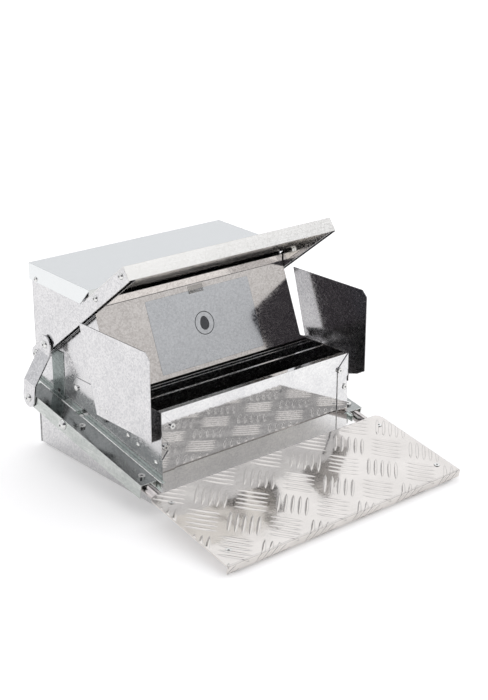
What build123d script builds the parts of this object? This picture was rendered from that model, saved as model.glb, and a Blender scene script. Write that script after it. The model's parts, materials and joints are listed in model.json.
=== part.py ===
from build123d import *
import math
import os

# Automatic feeder for hens: a bird stands on the tread plate and the rain lid over the trough lifts.
# Millimetres, +Z up, -Y is the trough end, origin under the middle of the base.
# Every pair of side pieces is drawn on the right (+X) and mirrored to the left.

os.makedirs("parts", exist_ok=True)

# sheet, wall and bar thicknesses
sheet = 1.0
lid_sheet = 0.9
arm_wall = 1.5
lid_arm_wall = 1.2
link_bar = 2.0
plate_sheet = 2.0

# gaps
seat_gap = 0.1
slide_gap = 0.5
run_gap = 0.05
head_gap = 0.2
rest_gap = 0.3
open_pivot_gap = 1.75

# base
base_length = 288.0
base_lift = 4.0
base_turn = 12.5
base_flange = 20.0
base_front = -base_length / 2
base_rear = base_length / 2

# upper body: trough and hopper between two side panels
body_width = 329.0
side_rear = base_rear - sheet
trough_rim_height = 142.0
trough_skirt_bottom = 30.0
rim_hem = 8.0
return_angle = 15.0
floor_height = 48.0
floor_depth = 105.0
floor_side = 44.0
floor_gap = 0.6
slope_rise = 96.0
slope_flange = 12.0
throat_height = 136.0
hopper_front_bottom = -47.9
hopper_lean = 21.66
hopper_fold_height = 244.6
hopper_lip = 9.4
back_rise = 15.4

# fold rails across the trough mouth
rail_top = 137.0
front_rail_front = -91.0
front_rail_width = 3.5
front_rail_drop = 16.0
gate_front = -66.0
gate_width = 9.0
gate_drop = 42.0

# corner straps at the ends of the trough front
corner_strap = 20.0
notch_height = 93.0
notch_long = 34.0
notch_short = 11.0
notch_depth = 10.0
strap_screw_high = 120.0
strap_screw_inset = 16.5
notch_screw_inset = 5.9

# treadle, drawn flat with its pivot at the origin, then tipped to the pressed position
pivot_y = 33.2
pivot_z = 75.7
treadle_tilt = 11.0
arm_gap = 7.5
arm_width = 25.0
arm_height = 20.0
arm_above_pivot = 8.0
arm_front = 178.0
arm_rear = 95.0
link_reach = 80.3
tube_diameter = 15.0
tube_wall = 1.5
tube_in_arm = 163.0
tube_setback = 6.0
tube_bolt_setback = 16.0
tube_bolt_spacing = 135.0
plate_overhang = 8.0
plate_depth = 160.5
plate_rear_reach = 203.8
plate_lip = 11.0
plate_corner = 11.0
plate_screw_front = 25.0
plate_screw_rear = 22.0

# five-bar tread on the plate
bar_length = 42.0
bar_width = 4.6
bar_rise = 0.9
bar_straight_share = 0.62
bar_flank_angle = 40.0
bar_lean = 45.0
bar_crumb = 1.0
bar_pitch = 9.2
bars_per_group = 5
group_pitch_across = 81.3
group_pitch_along = 66.0
group_first_along = 24.0
group_shift_across = 11.4

# side rails that carry the body on the base and guard the treadle arms
rail_drop = 10.0
rail_front_reach = 7.0
rail_notch = 15.0

# rain lid, drawn level with its pivot at the origin, then lifted to the open position
lid_pivot_y = 125.0
lid_pivot_z = 147.5
lid_tilt = 37.2
lid_arm_gap = 1.5
lid_arm_width = 10.3
lid_arm_height = 20.0
lid_reach = 277.7
lid_rear_reach = 171.0
lid_lip = 20.0
lid_flange = 15.0
lid_link_reach = 35.9
lid_bolt_front = 265.0
lid_bolt_rear = 192.0
lid_bolt_rise = 3.0

# link between treadle arm and lid arm
link_width = 27.0
link_low_straight = 24.0
link_high_straight = 13.2
link_step_gap = 1.7

# roof lid over the hopper
roof_overhang = 4.4
roof_front = -1.1
roof_rear = 144.2
roof_front_rise = 24.4
roof_rear_rise = 28.5
roof_flange = 24.0
roof_front_flange = 9.0
roof_flange_cut = 22.0
roof_pivot_y = 127.6
roof_pivot_rise = 8.4
roof_pivot_bush = 10.0

# wings beside the trough mouth
wing_gap = 23.9
wing_top = 230.2
wing_bottom = 112.0
wing_front = -155.6
wing_corner = 8.8
wing_rear_bottom = -37.0
wing_rear_outline = [(-29.5, 137.0), (-4.2, wing_top)]
wing_shelf_cut = 9.0
wing_tab = 12.0
wing_tab_screws = [-118.0, -62.0]
bracket_height = 21.0
bracket_front = -66.0
bracket_leg = 26.0
bracket_rise = 30.0
bracket_foot = 66.0
bracket_screw_y = 42.0
bracket_screw_up = 6.0

# upright stay welded to the side panel behind the lid arm
stay_front = 74.0
stay_width = 28.0
stay_top = 160.0
stay_hole = 6.0
stay_hole_height = 100.7

# rivets that hold the trough tray between the side panels
tray_rivets = [(-131.8, 68.4), (-93.5, 80.4), (-71.9, 86.0)]

# round hardware
treadle_bolt = 8.0
link_bolt = 6.0
lid_bolt = 6.0
small_bolt = 5.0
screw = 4.0
rivet = 4.0
washer_thick = 1.2
nut_height_ratio = 0.8
nut_across_ratio = 1.6
head_radius_ratio = 0.95
head_rise_ratio = 0.62
wide_head_ratio = 1.15
screw_head_ratio = 0.55
rivet_dome_ratio = 0.35
thread_past_nut = 1.5
spacer_diameter = 14.0

# sizes that follow from the ones above
body_half = body_width / 2
body_inner = body_half - sheet
base_half = body_inner
base_inner = base_half - sheet
arm_inner = body_half + arm_gap
lid_arm_inner = body_half + lid_arm_gap
wing_face = body_half + wing_gap
roof_width = body_width + 2 * roof_overhang
back_height = hopper_fold_height + back_rise
roof_front_height = hopper_fold_height + roof_front_rise
roof_rear_height = hopper_fold_height + roof_rear_rise
roof_pivot_z = hopper_fold_height + roof_pivot_rise
arm_outer = arm_inner + arm_width
plate_width = 2 * (arm_outer + plate_overhang)
rail_outer = arm_inner - slide_gap
lid_arm_outer = lid_arm_inner + lid_arm_width
link_step_in = lid_arm_outer + link_step_gap
link_low_face = arm_outer + washer_thick + run_gap
link_length = math.dist(
    (lid_pivot_y - lid_link_reach * math.cos(math.radians(lid_tilt)),
     lid_pivot_z + lid_link_reach * math.sin(math.radians(lid_tilt))),
    (pivot_y + link_reach * math.cos(math.radians(treadle_tilt)),
     pivot_z + link_reach * math.sin(math.radians(treadle_tilt))))
rail_top_above_pivot = arm_above_pivot + rest_gap


def prism_x(points, x_low, x_high):
    # outline in Y and Z, carried along X
    return extrude(Plane.YZ.offset(x_low) * Polygon(*points, align=None), x_high - x_low, dir=(1, 0, 0))


def prism_y(points, y_low, y_high):
    # outline in X and Z, carried along Y
    return extrude(Plane.XZ.offset(-y_low) * Polygon(*points, align=None), y_high - y_low, dir=(0, 1, 0))


def prism_z(points, z_low, z_high):
    # outline in X and Y, carried along Z
    return extrude(Plane.XY.offset(z_low) * Polygon(*points, align=None), z_high - z_low, dir=(0, 0, 1))


def block(x_low, x_high, y_low, y_high, z_low, z_high):
    return Pos(x_low, y_low, z_low) * Box(
        x_high - x_low, y_high - y_low, z_high - z_low, align=(Align.MIN, Align.MIN, Align.MIN))


def bar_x(y, z, radius, x_low, x_high):
    # round bar or hole along X
    return Pos((x_low + x_high) / 2, y, z) * Rot(Y=90) * Cylinder(radius, x_high - x_low)


def bar_y(x, z, radius, y_low, y_high):
    return Pos(x, (y_low + y_high) / 2, z) * Rot(X=90) * Cylinder(radius, y_high - y_low)


def bar_z(x, y, radius, z_low, z_high):
    return Pos(x, y, (z_low + z_high) / 2) * Cylinder(radius, z_high - z_low)


def folded(path, thickness):
    # outline of a folded sheet: the path, then its copy moved to the left by the thickness
    normals = []
    for (a, b), (c, d) in zip(path, path[1:]):
        run = math.dist((a, b), (c, d))
        normals.append((-(d - b) / run, (c - a) / run))
    inner = []
    for i, (a, b) in enumerate(path):
        before = normals[max(i - 1, 0)]
        after = normals[min(i, len(normals) - 1)]
        share = 1 + before[0] * after[0] + before[1] * after[1]
        inner.append((a + thickness * (before[0] + after[0]) / share,
                      b + thickness * (before[1] + after[1]) / share))
    return list(path) + inner[::-1]


def hex_nut_x(y, z, across, x_low, x_high):
    # hexagon nut on an axis along X
    face = Plane.YZ.offset(x_low) * Pos(y, z) * RegularPolygon(across / 2, 6, major_radius=False)
    return extrude(face, x_high - x_low)


def domed_head_x(y, z, radius, x_face, rise):
    # low domed head that sits on the plane x_face and points to +X
    ball = (radius * radius + rise * rise) / (2 * rise)
    half_angle = math.asin(radius / ball) / 2
    middle = (rise - ball * (1 - math.cos(half_angle)), ball * math.sin(half_angle))
    profile = make_face([Line((0, 0), (0, radius)), ThreePointArc((0, radius), middle, (rise, 0)),
                         Line((rise, 0), (0, 0))])
    return Pos(x_face, y, z) * revolve(profile, axis=Axis.X)


def write(name, shape):
    shape.label = name
    export_step(shape, os.path.join("parts", name + ".step"))


def write_pair(name, right):
    # the drawn piece is the right one, its mirror image the left one
    write(name + "_right", right)
    write(name + "_left", mirror(right, about=Plane.YZ))


def group(solids):
    return Compound(children=[s for part in solids for s in part.solids()])


def both_sides(shapes):
    return list(shapes) + [mirror(s, about=Plane.YZ) for s in shapes]


def tipped(shape):
    # from the flat treadle drawing to its pressed place
    return Pos(0, pivot_y, pivot_z) * Rot(X=treadle_tilt) * shape


def lifted(shape):
    # from the level lid drawing to its open place
    return Pos(0, lid_pivot_y, lid_pivot_z) * Rot(X=-lid_tilt) * shape


def tread_line(y, above):
    # height of a line parallel to the pressed treadle arm, that far above the pivot line
    tilt = math.radians(treadle_tilt)
    return pivot_z + (above + (y - pivot_y) * math.sin(tilt)) / math.cos(tilt)


def hopper_face(z, inward=0.0):
    # Y of the slanted hopper front at a height, measured to the outer face or inward from it
    lean = math.radians(hopper_lean)
    return hopper_front_bottom + (z - throat_height) * math.tan(lean) + inward / math.cos(lean)


def roof_under(y, below=0.0):
    # height of the underside of the roof sheet
    share = (y - roof_front) / (roof_rear - roof_front)
    return roof_front_height + share * (roof_rear_height - roof_front_height) - lid_sheet - below


def base_tray():
    # pan that the feeder stands on, its sides turned up inside the wedges
    flat = base_inner - base_turn
    path = [(-base_inner, base_lift + base_flange), (-base_inner, base_lift), (-flat, 0),
            (flat, 0), (base_inner, base_lift), (base_inner, base_lift + base_flange)]
    return prism_y(folded(path, sheet), base_front, side_rear)


def base_side():
    # wedge that follows the pressed treadle arm
    top = rail_top_above_pivot - sheet
    outline = [(base_front, base_lift), (side_rear, base_lift), (side_rear, tread_line(side_rear, top)),
               (base_front, tread_line(base_front, top))]
    wedge = prism_x(outline, base_inner, base_half)
    return wedge - bar_x(pivot_y, pivot_z, treadle_bolt / 2, base_inner - 1, base_half + 1)


def side_rail():
    # folded rail on the wedge: a ledge for the side panel, with an edge turned down beside the arm
    low = rail_top_above_pivot - sheet - rail_drop
    path = [(base_half, low), (base_half, rail_top_above_pivot),
            (rail_outer, rail_top_above_pivot), (rail_outer, low)]
    tilt = math.radians(treadle_tilt)
    rear_end = (side_rear - pivot_y) / math.cos(tilt) + 5
    front_end = (pivot_y - base_front) / math.cos(tilt) + rail_front_reach
    rail = tipped(prism_y(folded(path, -sheet), -front_end, rear_end))
    rail -= block(base_half - 1, rail_outer + 1, side_rear, side_rear + 20, 0, 200)
    rail -= block(base_half - 1, body_half + slide_gap, base_front - 40, base_front, 0, 200)
    notch = tipped(block(base_half + sheet, rail_outer + 1, -rail_notch / 2, rail_notch / 2, -20, 20))
    return rail - notch - bar_x(pivot_y, pivot_z, rail_notch / 2, base_half - 1, rail_outer + 1)


def body_side():
    # one sheet from the rail to the roof, stepped down to the trough rim at the front
    front_low = hopper_face(trough_rim_height, sheet)
    front_high = hopper_face(hopper_fold_height, sheet)
    behind_roof = roof_front + lid_sheet + rest_gap
    lip_top = hopper_fold_height + hopper_lip
    outline = [
        (base_front, tread_line(base_front, rail_top_above_pivot)),
        (side_rear, tread_line(side_rear, rail_top_above_pivot)),
        (side_rear, back_height),
        (roof_pivot_y, roof_under(roof_pivot_y, rest_gap)),
        (behind_roof, roof_under(behind_roof, rest_gap)),
        (behind_roof, lip_top),
        (front_high, lip_top),
        (front_high, hopper_fold_height),
        (front_low, trough_rim_height),
        (base_front, trough_rim_height)]
    panel = prism_x(outline, body_inner, body_half)
    panel -= bar_x(lid_pivot_y, lid_pivot_z, lid_bolt / 2, body_inner - 1, body_half + 1)
    panel -= bar_x(roof_pivot_y, roof_pivot_z, screw / 2, body_inner - 1, body_half + 1)
    for y, z in tray_rivets + [bracket_screw_place()] + wing_tab_places():
        panel -= bar_x(y, z, rivet / 2, body_inner - 1, body_half + 1)
    return panel - stay_hole_bar()


def stay_hole_bar():
    return bar_x(stay_front + stay_width / 2, stay_hole_height, stay_hole / 2, body_inner - 1,
                 body_half + 2 * sheet)


def side_stay():
    # upright strap welded to the side panel, with a foot folded out over the rail
    rear = stay_front + stay_width
    foot = prism_x([(stay_front, tread_line(stay_front, rail_top_above_pivot)),
                    (rear, tread_line(rear, rail_top_above_pivot)),
                    (rear, tread_line(rear, rail_top_above_pivot + sheet)),
                    (stay_front, tread_line(stay_front, rail_top_above_pivot + sheet))],
                   body_half, rail_outer)
    outline = [(stay_front, tread_line(stay_front, rail_top_above_pivot)),
               (rear, tread_line(rear, rail_top_above_pivot)), (rear, stay_top), (stay_front, stay_top)]
    return prism_x(outline, body_half, body_half + sheet) + foot - stay_hole_bar()


def hopper_front_panel():
    # slanted front with an upright lip at the top and a short return at the bottom
    return_drop = rim_hem * math.tan(math.radians(return_angle))
    bottom_back = (hopper_face(throat_height) + rim_hem, throat_height - return_drop)
    path = [bottom_back,
            (hopper_face(throat_height), throat_height),
            (hopper_face(hopper_fold_height), hopper_fold_height),
            (hopper_face(hopper_fold_height), hopper_fold_height + hopper_lip)]
    panel = prism_x(folded(path, -sheet), -body_half, body_half)
    low = block(body_inner - seat_gap, body_half + 1, -100, 100, 0, trough_rim_height)
    for cut in both_sides([low]):
        panel -= cut
    return panel


def hopper_back_panel():
    return block(-body_half, body_half, side_rear, base_rear, base_lift, back_height)


def feed_slope():
    # floor of the hopper, sloping down to the trough, with a flange against the back
    half = base_inner - seat_gap
    low_rear = base_front + floor_depth
    path = [(side_rear, floor_height + slope_rise + slope_flange),
            (side_rear, floor_height + slope_rise), (low_rear, floor_height)]
    return prism_x(folded(path, -sheet), -half, half)


def trough_tray():
    # bottom of the trough, turned up at the front and at both ends
    half = base_inner - seat_gap
    rear = base_front + floor_depth - floor_gap
    path = [(base_front, floor_height + slope_flange), (base_front, floor_height), (rear, floor_height)]
    tray = prism_x(folded(path, sheet), -half, half)
    end = block(half - sheet, half, base_front + sheet, rear, floor_height, floor_height + floor_side)
    for y, z in tray_rivets:
        end -= bar_x(y, z, rivet / 2, half - 2 * sheet, half + 1)
    for piece in both_sides([end]):
        tray += piece
    return tray


def trough_front_panel():
    # flat front with its rim folded back over the trough
    face = base_front - sheet
    path = [(face, trough_skirt_bottom), (face, trough_rim_height),
            (face + rim_hem, trough_rim_height)]
    panel = prism_x(folded(path, -sheet), -body_half, body_half)
    corner = block(body_inner - seat_gap, body_half + 1, base_front, base_front + 2 * rim_hem,
                   trough_rim_height - rim_hem, trough_rim_height + 1)
    for cut in both_sides([corner]):
        panel -= cut
    return panel


def trough_rail():
    # folded angle from side to side across the trough mouth
    half = body_inner - seat_gap
    path = [(front_rail_front, rail_top - front_rail_drop), (front_rail_front, rail_top),
            (front_rail_front + front_rail_width, rail_top)]
    return prism_x(folded(path, -sheet), -half, half)


def feed_gate():
    # channel from side to side, open upward, that holds the feed back above the throat
    half = body_inner - seat_gap
    path = [(gate_front, rail_top), (gate_front, rail_top - gate_drop),
            (gate_front + gate_width, rail_top - gate_drop), (gate_front + gate_width, rail_top)]
    return prism_x(folded(path, sheet), -half, half)


def trough_corner():
    # strap over the end of the trough front, mitred at the rim and notched at its outer edge
    inner = body_half - corner_strap
    outline = [(inner, trough_skirt_bottom), (body_half, trough_skirt_bottom),
               (body_half, notch_height - notch_long / 2),
               (body_half - notch_depth, notch_height - notch_short / 2),
               (body_half - notch_depth, notch_height + notch_short / 2),
               (body_half, notch_height + notch_long / 2),
               (body_half, trough_rim_height),
               (inner, trough_rim_height - corner_strap)]
    strap = prism_y(outline, base_front - 2 * sheet, base_front - sheet)
    x, z, _ = corner_screw_places()[0]
    return strap - bar_y(x, z, screw / 2, base_front - 3 * sheet, base_front)


def corner_screw_places():
    # X, height and the face the head sits on: one through the strap, one in its notch
    return [(body_half - strap_screw_inset, strap_screw_high, base_front - 2 * sheet),
            (body_half - notch_screw_inset, notch_height, base_front - sheet)]


def wing():
    # flat shield with a shelf turned in to the side panel and a tab turned down against it
    outline = [(wing_front, wing_bottom), (wing_rear_bottom, wing_bottom)] + wing_rear_outline
    outline += [(wing_front + wing_corner, wing_top), (wing_front, wing_top - wing_corner)]
    plate = prism_x(outline, wing_face - sheet, wing_face)
    for y, z in bracket_rivet_places():
        plate -= bar_x(y, z, rivet / 2, wing_face - 2 * sheet, wing_face + 1)
    shelf = prism_z([(wing_face, wing_front), (wing_face, wing_rear_bottom),
                     (body_half, wing_rear_bottom), (body_half, wing_front + wing_shelf_cut),
                     (body_half + wing_shelf_cut, wing_front)], wing_bottom - sheet, wing_bottom)
    tab = block(body_half, body_half + sheet, wing_front + wing_shelf_cut, wing_rear_bottom,
                wing_bottom - wing_tab, wing_bottom)
    for y, z in wing_tab_places():
        tab -= bar_x(y, z, rivet / 2, body_half - 1, body_half + 2 * sheet)
    return plate + shelf + tab


def wing_tab_places():
    return [(y, wing_bottom - wing_tab / 2 - sheet / 2) for y in wing_tab_screws]


def bracket_rivet_places():
    middle = wing_bottom + bracket_height / 2
    return [(bracket_front + bracket_leg * share, middle) for share in (0.25, 0.7)]


def bracket_screw_place():
    return bracket_screw_y, wing_bottom + bracket_screw_up


def wing_bracket():
    # stay from the back of the wing to the side panel, low enough for the lid arm to pass over
    inner_face = wing_face - sheet
    leg_end = bracket_front + bracket_leg
    path = [(inner_face, bracket_front), (inner_face, leg_end),
            (body_half + sheet, leg_end + bracket_rise),
            (body_half + sheet, leg_end + bracket_rise + bracket_foot)]
    bracket = prism_z(folded(path, sheet), wing_bottom, wing_bottom + bracket_height)
    for y, z in bracket_rivet_places():
        bracket -= bar_x(y, z, rivet / 2, inner_face - 2 * sheet, inner_face + 1)
    y, z = bracket_screw_place()
    return bracket - bar_x(y, z, rivet / 2, body_half - 1, body_half + 2 * sheet)


def treadle_arm():
    # channel, open downward, holed for its pivot, the link bolt and the tube bolts
    outer = arm_outer
    path = [(arm_inner, arm_above_pivot - arm_height), (arm_inner, arm_above_pivot),
            (outer, arm_above_pivot), (outer, arm_above_pivot - arm_height)]
    arm = prism_y(folded(path, -arm_wall), -arm_front, arm_rear)
    arm -= bar_x(0, 0, treadle_bolt / 2 + run_gap, arm_inner - 1, outer + 1)
    arm -= bar_x(link_reach, 0, link_bolt / 2, outer - 2 * arm_wall, outer + 1)
    for place in tube_bolt_places():
        arm -= bar_z(arm_centre(), place, small_bolt / 2, 0, arm_above_pivot + 1)
    return tipped(arm)


def arm_centre():
    return arm_inner + arm_width / 2


def tube_bolt_places():
    first = -arm_front + tube_bolt_setback
    return [first, first + tube_bolt_spacing]


def plate_top():
    # the plate lies on the tubes
    return arm_above_pivot - arm_wall + plate_sheet


def tube_axis():
    return arm_above_pivot - arm_wall - tube_diameter / 2


def plate_front():
    return -(plate_rear_reach + plate_depth)


def plate_screw_places():
    return [plate_front() + plate_screw_front, -plate_rear_reach - plate_screw_rear]


def treadle_tube():
    radius = tube_diameter / 2
    front = plate_front() + plate_sheet + tube_setback
    rear = -arm_front + tube_in_arm
    tube = bar_y(arm_centre(), tube_axis(), radius, front, rear)
    tube -= bar_y(arm_centre(), tube_axis(), radius - tube_wall, front - 1, rear + 1)
    for place in tube_bolt_places():
        tube -= bar_z(arm_centre(), place, small_bolt / 2, tube_axis(), arm_above_pivot)
    for place in plate_screw_places():
        tube -= bar_z(arm_centre(), place, screw / 2, tube_axis(), arm_above_pivot)
    return tipped(tube)


def tread_groups():
    # centres of the bar groups in X and along the plate, with the way each group leans
    half_along = group_pitch_along / 2
    rows = int((plate_depth - group_first_along) // half_along) + 1
    columns = int(plate_width // group_pitch_across) + 2
    for row in range(rows + 1):
        way = 1 if row % 2 == 0 else -1
        shift = 0.0 if way > 0 else group_pitch_across / 2
        along = group_first_along + row * half_along
        for column in range(columns):
            across = (column - columns // 2) * group_pitch_across + shift - group_shift_across
            yield across, along, way


def plate_blank(thickness):
    # outline of the plate with its two rear corners rounded, front edge on Y = 0
    half = plate_width / 2
    square = block(-half, half, 0, plate_depth, 0, thickness)
    corners = square.edges().filter_by(Axis.Z).group_by(Axis.Y)[-1]
    return fillet(corners, plate_corner)


def tread_bars():
    # pointed bars, five to a group, each group turned a quarter from its neighbours
    long, wide = bar_length / 2, bar_width / 2
    flat = long * bar_straight_share
    bar_outline = [(-long, 0), (-flat, -wide), (flat, -wide), (long, 0), (flat, wide), (-flat, wide)]
    bar = extrude(Polygon(*bar_outline, align=None), bar_rise, taper=bar_flank_angle)
    blank = plate_blank(bar_rise)
    half_turn = long * math.cos(math.radians(bar_lean))
    bars = []
    for across, along, way in tread_groups():
        for i in range(bars_per_group):
            offset = (i - (bars_per_group - 1) / 2) * bar_pitch
            turn = -bar_lean * way
            x = across + offset * math.cos(math.radians(turn + 90))
            y = along + offset * math.sin(math.radians(turn + 90))
            beside = abs(x) > plate_width / 2 + half_turn / 2
            if beside or not -half_turn / 2 < y < plate_depth + half_turn / 2:
                continue
            placed = Pos(x, y, 0) * Rot(Z=turn) * bar
            whole = abs(x) < plate_width / 2 - half_turn - plate_corner / 3 and (
                half_turn < y < plate_depth - half_turn)
            pieces = [placed] if whole else (placed & blank).solids()
            bars += [piece for piece in pieces if piece.volume > bar_crumb]
    return bars


def tread_plate():
    # raised-bar plate with rounded rear corners and a lip turned down at the front
    half = plate_width / 2
    top = plate_top()
    front = plate_front()
    plate = Pos(0, front, top - plate_sheet) * plate_blank(plate_sheet)
    plate += block(-half, half, front, front + plate_sheet, top - plate_lip, top)
    plate = plate.fuse(*[Pos(0, front, top) * bar for bar in tread_bars()])
    for side in (-1, 1):
        for place in plate_screw_places():
            x = side * arm_centre()
            plate -= bar_z(x, place, screw / 2, top - 2 * plate_sheet, top + 1)
            plate -= bar_z(x, place, screw + rest_gap, top, top + 2 * bar_rise)
    return tipped(plate)


def plate_screws():
    # pan-head screws through the plate into the tubes
    heads = []
    for place in plate_screw_places():
        shank = bar_z(arm_centre(), place, screw / 2, tube_axis() + 1, plate_top())
        head = Pos(arm_centre(), place, plate_top()) * Cylinder(
            screw, bar_rise, align=(Align.CENTER, Align.CENTER, Align.MIN))
        heads.append(tipped(shank + head))
    return group(both_sides(heads))


def tube_bolts():
    bolts = []
    for place in tube_bolt_places():
        shank = bar_z(arm_centre(), place, small_bolt / 2, tube_axis(), arm_above_pivot)
        head = Pos(arm_centre(), place, arm_above_pivot) * Cylinder(
            small_bolt * head_radius_ratio, small_bolt * screw_head_ratio,
            align=(Align.CENTER, Align.CENTER, Align.MIN))
        bolts.append(tipped(shank + head))
    return group(both_sides(bolts))


def bolt_with_nut(y, z, size, x_nut, x_near, x_head):
    # shank from the nut's outer end to the head's seat, a domed head and a hexagon nut as solids
    nut_high = size * nut_height_ratio
    shank = bar_x(y, z, size / 2, x_nut - thread_past_nut, x_head)
    bolt = shank + domed_head_x(y, z, size * head_radius_ratio, x_head, size * head_rise_ratio)
    nut = hex_nut_x(y, z, size * nut_across_ratio, x_nut, x_nut + nut_high) - bar_x(
        y, z, size / 2, x_nut - 1, x_near + 1)
    return [bolt, nut]


def washer_x(y, z, bolt_size, outer_radius, x_low, x_high):
    return bar_x(y, z, outer_radius, x_low, x_high) - bar_x(y, z, bolt_size / 2, x_low - 1, x_high + 1)


def treadle_pivot_bolt():
    nut_seat = base_half - sheet
    nut_high = treadle_bolt * nut_height_ratio
    head = arm_outer + head_gap
    solids = bolt_with_nut(pivot_y, pivot_z, treadle_bolt, nut_seat - nut_high, nut_seat, head)
    return group(solids)


def pivot_spacer():
    ring = bar_x(pivot_y, pivot_z, spacer_diameter / 2, base_half, arm_inner - head_gap)
    return ring - bar_x(pivot_y, pivot_z, treadle_bolt / 2, base_half - 1, arm_inner + 1)


def point_on_treadle(along):
    tilt = math.radians(treadle_tilt)
    return pivot_y + along * math.cos(tilt), pivot_z + along * math.sin(tilt)


def point_on_lid(along, above=0.0):
    tilt = math.radians(lid_tilt)
    return (lid_pivot_y - along * math.cos(tilt) + above * math.sin(tilt),
            lid_pivot_z + along * math.sin(tilt) + above * math.cos(tilt))


def link_bottom_bolt():
    # bolt fixed in the outer wall of the treadle arm; the link turns on it
    y, z = point_on_treadle(link_reach)
    seat = arm_outer - arm_wall
    head = link_low_face + link_bar + head_gap
    solids = bolt_with_nut(y, z, link_bolt, seat - link_bolt * nut_height_ratio, seat, head)
    solids.append(washer_x(y, z, link_bolt, link_bolt, arm_outer, arm_outer + washer_thick))
    return group(solids)


def link_top_bolt():
    # bolt fixed in the outer wall of the lid arm; the link hole is wide enough for the lost motion
    y, z = point_on_lid(lid_link_reach)
    seat = lid_arm_outer - lid_arm_wall
    washer_end = link_step_in - run_gap
    head = link_step_in + link_bar + run_gap
    bolt = bar_x(y, z, small_bolt / 2, seat - small_bolt * nut_height_ratio - 1, head)
    bolt += domed_head_x(y, z, small_bolt * wide_head_ratio, head, small_bolt * head_rise_ratio)
    nut = hex_nut_x(y, z, small_bolt * nut_across_ratio, seat - small_bolt * nut_height_ratio, seat)
    nut -= bar_x(y, z, small_bolt / 2, seat - small_bolt, seat + 1)
    ring = washer_x(y, z, small_bolt, small_bolt * 1.2, lid_arm_outer, washer_end)
    return group([bolt, nut, ring])


def link():
    # strap between the bolts, stepped outward from the lid arm to the treadle arm
    low_y, low_z = point_on_treadle(link_reach)
    high_y, high_z = point_on_lid(lid_link_reach)
    lean = math.degrees(math.atan2(high_y - low_y, high_z - low_z))
    end = link_width / 2
    low_in = link_low_face
    high_in = link_step_in
    path = [(low_in, -end), (low_in, link_low_straight), (high_in, link_length - link_high_straight),
            (high_in, link_length + end)]
    strap = prism_y(folded(path, -link_bar), -end, end)
    face = Plane.YZ.offset(high_in - link_bar) * SlotCenterToCenter(link_length, link_width, rotation=90)
    outline = extrude(Pos(0, 0, link_length / 2) * face, low_in - high_in + 4 * link_bar, dir=(1, 0, 0))
    strap &= outline
    strap -= bar_x(0, 0, link_bolt / 2 + run_gap, low_in - 1, low_in + link_bar + 1)
    strap -= bar_x(0, link_length, small_bolt / 2 + open_pivot_gap, high_in - 1, high_in + link_bar + 1)
    return Pos(0, low_y, low_z) * Rot(X=-lean) * strap


def lid_arm():
    # channel, open downward, round at the pivot end
    outer = lid_arm_outer
    half = lid_arm_height / 2
    path = [(lid_arm_inner, -half), (lid_arm_inner, half), (outer, half), (outer, -half)]
    arm = prism_y(folded(path, -lid_arm_wall), -(lid_reach - lid_sheet - seat_gap), half)
    side = [(half, -half), (half, half), (0, half), (0, -half)]
    keep = bar_x(0, 0, half, lid_arm_inner - 1, outer + 1)
    arm -= prism_x(side, lid_arm_inner - 1, outer + 1) - keep
    arm -= bar_x(0, 0, lid_bolt / 2 + run_gap, lid_arm_inner - 1, outer + 1)
    arm -= bar_x(-lid_link_reach, 0, small_bolt / 2, outer - 2 * lid_arm_wall, outer + 1)
    for place in (lid_bolt_front, lid_bolt_rear):
        arm -= bar_x(-place, lid_bolt_rise, small_bolt / 2, lid_arm_inner - 1, outer + 1)
    return lifted(arm)


def flap_pan():
    # rain lid over the trough: a sheet on the two arms, a deep front lip and side flanges inside them
    half = lid_arm_height / 2
    top = half + lid_sheet
    path = [(-lid_reach, top - lid_lip), (-lid_reach, top), (-lid_rear_reach, top)]
    pan = prism_x(folded(path, -lid_sheet), -lid_arm_outer, lid_arm_outer)
    flange_outer = lid_arm_inner
    flange = block(flange_outer - lid_sheet, flange_outer, -(lid_reach - lid_sheet), -lid_rear_reach - 2,
                   top - lid_sheet - lid_flange, top - lid_sheet)
    for place in (lid_bolt_front, lid_bolt_rear):
        flange -= bar_x(-place, lid_bolt_rise, small_bolt / 2, flange_outer - 2, flange_outer + 1)
    for piece in both_sides([flange]):
        pan += piece
    return lifted(pan)


def lid_arm_bolts():
    # bolts through both walls of each arm and the pan's flange, nuts on the inside
    solids = []
    nut_high = small_bolt * nut_height_ratio
    seat = lid_arm_inner - lid_sheet
    for place in (lid_bolt_front, lid_bolt_rear):
        shank = bar_x(-place, lid_bolt_rise, small_bolt / 2, seat - nut_high, lid_arm_outer)
        bolt = shank + domed_head_x(-place, lid_bolt_rise, small_bolt * head_radius_ratio, lid_arm_outer,
                                    small_bolt * head_rise_ratio)
        nut = hex_nut_x(-place, lid_bolt_rise, small_bolt * nut_across_ratio, seat - nut_high, seat)
        nut -= bar_x(-place, lid_bolt_rise, small_bolt / 2, seat - 2 * nut_high, seat + 1)
        solids += [lifted(bolt), lifted(nut)]
    return group(both_sides(solids))


def lid_pivot_bolt():
    nut_high = lid_bolt * nut_height_ratio
    head = lid_arm_outer + head_gap
    solids = bolt_with_nut(lid_pivot_y, lid_pivot_z, lid_bolt, body_inner - nut_high, body_inner, head)
    solids.append(washer_x(lid_pivot_y, lid_pivot_z, lid_bolt, lid_bolt, body_half,
                           lid_arm_inner - rest_gap))
    return group(solids)


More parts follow.
